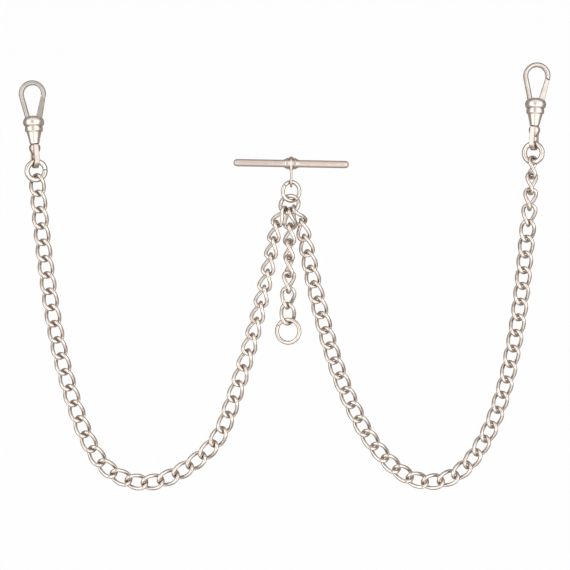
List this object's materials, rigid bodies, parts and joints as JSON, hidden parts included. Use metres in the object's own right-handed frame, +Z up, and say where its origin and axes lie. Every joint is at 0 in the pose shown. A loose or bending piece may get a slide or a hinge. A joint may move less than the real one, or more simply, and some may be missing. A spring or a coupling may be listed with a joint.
{
  "type": "pocket watch chain",
  "caption": "Double Albert pocket watch chain: T-bar, two curb-link strands ending in sprung swivel clips, and a short drop with a fob ring.",
  "frame": {"origin": "on the surface that the chain lies on, under the middle of its outline", "axes": "+X to the right along the T-bar, +Y from the drop towards the T-bar, +Z up from the surface"},
  "size_m": [0.159, 0.1282, 0.0063],
  "materials": {
    "chain_links": "polished nickel silver, worn soft",
    "jump_rings": "polished nickel silver wire",
    "t_bar": "turned and polished nickel silver",
    "clip_metal": "turned and polished nickel silver",
    "clip_steel": "spring steel"
  },
  "bodies": {
    "main_jump_ring": {"main_jump_ring": "jump_rings"},
    "upper_jump_ring": {"upper_jump_ring": "jump_rings"},
    "t_bar_shackle": {"t_bar_shackle": "jump_rings"},
    "t_bar": {"t_bar": "t_bar", "t_bar_left_collar": "t_bar", "t_bar_right_collar": "t_bar"},
    "drop_end_ring": {"drop_end_ring": "jump_rings"},
    "drop_link_1": {"drop_link_1": "chain_links"},
    "drop_link_2": {"drop_link_2": "chain_links"},
    "drop_link_3": {"drop_link_3": "chain_links"},
    "drop_link_4": {"drop_link_4": "chain_links"},
    "drop_link_5": {"drop_link_5": "chain_links"},
    "drop_link_6": {"drop_link_6": "chain_links"},
    "drop_link_7": {"drop_link_7": "chain_links"},
    "left_links_01": {"left_links_01": "chain_links"},
    "left_links_02": {"left_links_02": "chain_links"},
    "left_links_03": {"left_links_03": "chain_links"},
    "left_links_04": {"left_links_04": "chain_links"},
    "left_links_05": {"left_links_05": "chain_links"},
    "left_links_06": {"left_links_06": "chain_links"},
    "left_links_07": {"left_links_07": "chain_links"},
    "left_links_08": {"left_links_08": "chain_links"},
    "left_links_09": {"left_links_09": "chain_links"},
    "left_links_10": {"left_links_10": "chain_links"},
    "left_links_11": {"left_links_11": "chain_links"},
    "left_links_12": {"left_links_12": "chain_links"},
    "left_links_13": {"left_links_13": "chain_links"},
    "left_links_14": {"left_links_14": "chain_links"},
    "right_links_01": {"right_links_01": "chain_links"},
    "right_links_02": {"right_links_02": "chain_links"},
    "right_links_03": {"right_links_03": "chain_links"},
    "right_links_04": {"right_links_04": "chain_links"},
    "right_links_05": {"right_links_05": "chain_links"},
    "right_links_06": {"right_links_06": "chain_links"},
    "right_links_07": {"right_links_07": "chain_links"},
    "right_links_08": {"right_links_08": "chain_links"},
    "right_links_09": {"right_links_09": "chain_links"},
    "right_links_10": {"right_links_10": "chain_links"},
    "right_links_11": {"right_links_11": "chain_links"},
    "right_links_12": {"right_links_12": "chain_links"},
    "right_links_13": {"right_links_13": "chain_links"},
    "right_links_14": {"right_links_14": "chain_links"},
    "right_links_15": {"right_links_15": "chain_links"},
    "left_clip_ring": {"left_clip_ring": "jump_rings"},
    "left_swivel_eye": {"left_clip_swivel_eye": "clip_metal"},
    "left_clip_body": {"left_clip_barrel": "clip_metal", "left_clip_hook": "clip_metal", "left_clip_gate_pin": "clip_steel", "left_clip_gate_spring": "clip_steel"},
    "left_clip_gate": {"left_clip_gate": "clip_metal"},
    "right_clip_ring": {"right_clip_ring": "jump_rings"},
    "right_swivel_eye": {"right_clip_swivel_eye": "clip_metal"},
    "right_clip_body": {"right_clip_barrel": "clip_metal", "right_clip_hook": "clip_metal", "right_clip_gate_pin": "clip_steel", "right_clip_gate_spring": "clip_steel"},
    "right_clip_gate": {"right_clip_gate": "clip_metal"}
  },
  "joints": [
    {"name": "left_links_01_hinge", "type": "hinge", "parent": "main_jump_ring", "child": "left_links_01", "pos_m": [-0.00043, 0.01963, 0.00291], "axis": [-0.866, 0.5, 0], "range_deg": [-19, 18]},
    {"name": "left_links_02_hinge", "type": "hinge", "parent": "left_links_01", "child": "left_links_02", "pos_m": [-0.00418, 0.00624, 0.00244], "axis": [0, 0, 1], "range_deg": [-15, 12]},
    {"name": "left_links_03_hinge", "type": "hinge", "parent": "left_links_02", "child": "left_links_03", "pos_m": [-0.00723, -0.00823, 0.00235], "axis": [0.9734, -0.2292, 0], "range_deg": [-15, 15]},
    {"name": "left_links_04_hinge", "type": "hinge", "parent": "left_links_03", "child": "left_links_04", "pos_m": [-0.01095, -0.02254, 0.00217], "axis": [0, 0, -1], "range_deg": [-15, 13]},
    {"name": "left_links_05_hinge", "type": "hinge", "parent": "left_links_04", "child": "left_links_05", "pos_m": [-0.0153, -0.03667, 0.00187], "axis": [-0.9494, 0.314, 0], "range_deg": [-17, 16]},
    {"name": "left_links_06_hinge", "type": "hinge", "parent": "left_links_05", "child": "left_links_06", "pos_m": [-0.02112, -0.05018, 0.0016], "axis": [0, 0, 1], "range_deg": [-2, 15]},
    {"name": "left_links_07_hinge", "type": "hinge", "parent": "left_links_06", "child": "left_links_07", "pos_m": [-0.03263, -0.05933, 0.00151], "axis": [0.4579, -0.889, 0], "range_deg": [-14, 14]},
    {"name": "left_links_08_hinge", "type": "hinge", "parent": "left_links_07", "child": "left_links_08", "pos_m": [-0.04691, -0.06116, 0.00151], "axis": [0, 0, -1], "range_deg": [-15, 0]},
    {"name": "left_links_09_hinge", "type": "hinge", "parent": "left_links_08", "child": "left_links_09", "pos_m": [-0.05773, -0.05166, 0.00151], "axis": [0.8704, 0.4924, 0], "range_deg": [-15, 15]},
    {"name": "left_links_10_hinge", "type": "hinge", "parent": "left_links_09", "child": "left_links_10", "pos_m": [-0.06325, -0.03797, 0.00151], "axis": [0, 0, 1], "range_deg": [-14, 15]},
    {"name": "left_links_11_hinge", "type": "hinge", "parent": "left_links_10", "child": "left_links_11", "pos_m": [-0.06722, -0.02372, 0.00151], "axis": [-0.9739, -0.2268, 0], "range_deg": [-16, 16]},
    {"name": "left_links_12_hinge", "type": "hinge", "parent": "left_links_11", "child": "left_links_12", "pos_m": [-0.06995, -0.00919, 0.00151], "axis": [0, 0, -1], "range_deg": [-15, 15]},
    {"name": "left_links_13_hinge", "type": "hinge", "parent": "left_links_12", "child": "left_links_13", "pos_m": [-0.07197, 0.00546, 0.00151], "axis": [0.9925, 0.1224, 0], "range_deg": [-16, 16]},
    {"name": "left_links_14_hinge", "type": "hinge", "parent": "left_links_13", "child": "left_links_14", "pos_m": [-0.07357, 0.02016, 0.00151], "axis": [0, 0, 1], "range_deg": [-15, 15]},
    {"name": "right_links_01_hinge", "type": "hinge", "parent": "main_jump_ring", "child": "right_links_01", "pos_m": [0.00314, 0.01984, 0.00397], "axis": [-0.8829, -0.4695, 0], "range_deg": [-12, 5]},
    {"name": "right_links_02_hinge", "type": "hinge", "parent": "right_links_01", "child": "right_links_02", "pos_m": [0.0069, 0.00711, 0.00225], "axis": [0, 0, 1], "range_deg": [-9, 15]},
    {"name": "right_links_03_hinge", "type": "hinge", "parent": "right_links_02", "child": "right_links_03", "pos_m": [0.00986, -0.00682, 0.00192], "axis": [0.9724, 0.2334, 0], "range_deg": [-30, 30]},
    {"name": "right_links_04_hinge", "type": "hinge", "parent": "right_links_03", "child": "right_links_04", "pos_m": [0.01355, -0.02058, 0.00168], "axis": [0, 0, -1], "range_deg": [-15, 15]},
    {"name": "right_links_05_hinge", "type": "hinge", "parent": "right_links_04", "child": "right_links_05", "pos_m": [0.01823, -0.03403, 0.00151], "axis": [-0.9239, -0.3827, 0], "range_deg": [-30, 30]},
    {"name": "right_links_06_hinge", "type": "hinge", "parent": "right_links_05", "child": "right_links_06", "pos_m": [0.02443, -0.04686, 0.00151], "axis": [0, 0, 1], "range_deg": [-15, 15]},
    {"name": "right_links_07_hinge", "type": "hinge", "parent": "right_links_06", "child": "right_links_07", "pos_m": [0.03362, -0.05768, 0.00151], "axis": [0.6259, 0.7799, 0], "range_deg": [-30, 30]},
    {"name": "right_links_08_hinge", "type": "hinge", "parent": "right_links_07", "child": "right_links_08", "pos_m": [0.04688, -0.06135, 0.00151], "axis": [0, 0, -1], "range_deg": [-15, 15]},
    {"name": "right_links_09_hinge", "type": "hinge", "parent": "right_links_08", "child": "right_links_09", "pos_m": [0.05776, -0.05274, 0.00151], "axis": [0.8307, -0.5568, 0], "range_deg": [-30, 30]},
    {"name": "right_links_10_hinge", "type": "hinge", "parent": "right_links_09", "child": "right_links_10", "pos_m": [0.06395, -0.03995, 0.00151], "axis": [0, 0, 1], "range_deg": [-15, 15]},
    {"name": "right_links_11_hinge", "type": "hinge", "parent": "right_links_10", "child": "right_links_11", "pos_m": [0.06768, -0.02621, 0.00151], "axis": [-0.9784, 0.2065, 0], "range_deg": [-30, 30]},
    {"name": "right_links_12_hinge", "type": "hinge", "parent": "right_links_11", "child": "right_links_12", "pos_m": [0.07019, -0.01218, 0.00151], "axis": [0, 0, -1], "range_deg": [-15, 15]},
    {"name": "right_links_13_hinge", "type": "hinge", "parent": "right_links_12", "child": "right_links_13", "pos_m": [0.07185, 0.00197, 0.00151], "axis": [0.9956, -0.0934, 0], "range_deg": [-30, 30]},
    {"name": "right_links_14_hinge", "type": "hinge", "parent": "right_links_13", "child": "right_links_14", "pos_m": [0.07307, 0.01613, 0.00212], "axis": [0, 0, 1], "range_deg": [-15, 15]},
    {"name": "right_links_15_hinge", "type": "hinge", "parent": "right_links_14", "child": "right_links_15", "pos_m": [0.07408, 0.03033, 0.00249], "axis": [-0.998, 0.0635, 0], "range_deg": [-30, 30]},
    {"name": "drop_link_1_hinge", "type": "hinge", "parent": "main_jump_ring", "child": "drop_link_1", "pos_m": [0.00153, 0.0191, 0.00377], "axis": [-0.9994, -0.0349, 0], "range_deg": [-2, 24]},
    {"name": "drop_link_2_hinge", "type": "hinge", "parent": "drop_link_1", "child": "drop_link_2", "pos_m": [0.00167, 0.01513, 0.00247], "axis": [0, 0, 1], "range_deg": [-7, 7]},
    {"name": "drop_link_3_hinge", "type": "hinge", "parent": "drop_link_2", "child": "drop_link_3", "pos_m": [0.00146, 0.01036, 0.00249], "axis": [0.9995, -0.0327, 0], "range_deg": [-30, 30]},
    {"name": "drop_link_4_hinge", "type": "hinge", "parent": "drop_link_3", "child": "drop_link_4", "pos_m": [0.00135, 0.00559, 0.00249], "axis": [0, 0, -1], "range_deg": [-10, 13]},
    {"name": "drop_link_5_hinge", "type": "hinge", "parent": "drop_link_4", "child": "drop_link_5", "pos_m": [0.00135, 0.00082, 0.00249], "axis": [-0.9998, 0.0175, 0], "range_deg": [-30, 30]},
    {"name": "drop_link_6_hinge", "type": "hinge", "parent": "drop_link_5", "child": "drop_link_6", "pos_m": [0.00119, -0.00394, 0.00244], "axis": [0, 0, 1], "range_deg": [-15, 15]},
    {"name": "drop_link_7_hinge", "type": "hinge", "parent": "drop_link_6", "child": "drop_link_7", "pos_m": [0.00085, -0.00869, 0.00212], "axis": [1, -0.0087, 0], "range_deg": [-23, 17]},
    {"name": "drop_end_ring_hinge", "type": "hinge", "parent": "drop_link_7", "child": "drop_end_ring", "pos_m": [0.00107, -0.01283, 0.00159], "axis": [1, 0, 0], "range_deg": [-13, 23]},
    {"name": "upper_ring_hinge", "type": "hinge", "parent": "main_jump_ring", "child": "upper_jump_ring", "pos_m": [0.00148, 0.02429, 0.00155], "axis": [0.9588, 0.111, 0.2614], "range_deg": [-4, 45]},
    {"name": "shackle_hinge", "type": "hinge", "parent": "upper_jump_ring", "child": "t_bar_shackle", "pos_m": [0.00198, 0.0284, 0.00226], "axis": [0.8788, 0.0374, -0.4757], "range_deg": [-45, 42]},
    {"name": "t_bar_turn", "type": "hinge", "parent": "t_bar_shackle", "child": "t_bar", "pos_m": [0.00198, 0.03393, 0.0022], "axis": [0.9998, -0.0175, 0], "continuous": true},
    {"name": "left_clip_ring_hinge", "type": "hinge", "parent": "left_links_14", "child": "left_clip_ring", "pos_m": [-0.07433, 0.02915, 0.00151], "axis": [0.999, 0.0436, 0], "range_deg": [-29, 1]},
    {"name": "left_swivel_eye_hinge", "type": "hinge", "parent": "left_clip_ring", "child": "left_swivel_eye", "pos_m": [-0.07456, 0.03447, 0.00304], "axis": [-0.9109, -0.0802, 0.4047], "range_deg": [-45, 45]},
    {"name": "left_clip_swivel", "type": "hinge", "parent": "left_swivel_eye", "child": "left_clip_body", "pos_m": [-0.07479, 0.0397, 0.00314], "axis": [-0.0436, 0.999, 0], "continuous": true},
    {"name": "left_gate_hinge", "type": "hinge", "parent": "left_clip_body", "child": "left_clip_gate", "pos_m": [-0.07355, 0.04696, 0.00314], "axis": [0, 0, 1], "range_deg": [0, 26], "stiffness_Nm_per_rad": 0.01, "springref_deg": -14.32},
    {"name": "right_clip_ring_hinge", "type": "hinge", "parent": "right_links_15", "child": "right_clip_ring", "pos_m": [0.07441, 0.03575, 0.00249], "axis": [0.8131, -0.0497, -0.58], "range_deg": [-30, 40]},
    {"name": "right_swivel_eye_hinge", "type": "hinge", "parent": "right_clip_ring", "child": "right_swivel_eye", "pos_m": [0.07457, 0.03984, 0.00304], "axis": [-0.8801, 0.0851, -0.4671], "range_deg": [-45, 45]},
    {"name": "right_clip_swivel", "type": "hinge", "parent": "right_swivel_eye", "child": "right_clip_body", "pos_m": [0.07479, 0.04506, 0.00314], "axis": [0.0436, 0.999, 0], "continuous": true},
    {"name": "right_gate_hinge", "type": "hinge", "parent": "right_clip_body", "child": "right_clip_gate", "pos_m": [0.07666, 0.05218, 0.00314], "axis": [0, 0, 1], "range_deg": [0, 26], "stiffness_Nm_per_rad": 0.01, "springref_deg": -14.32}
  ]
}
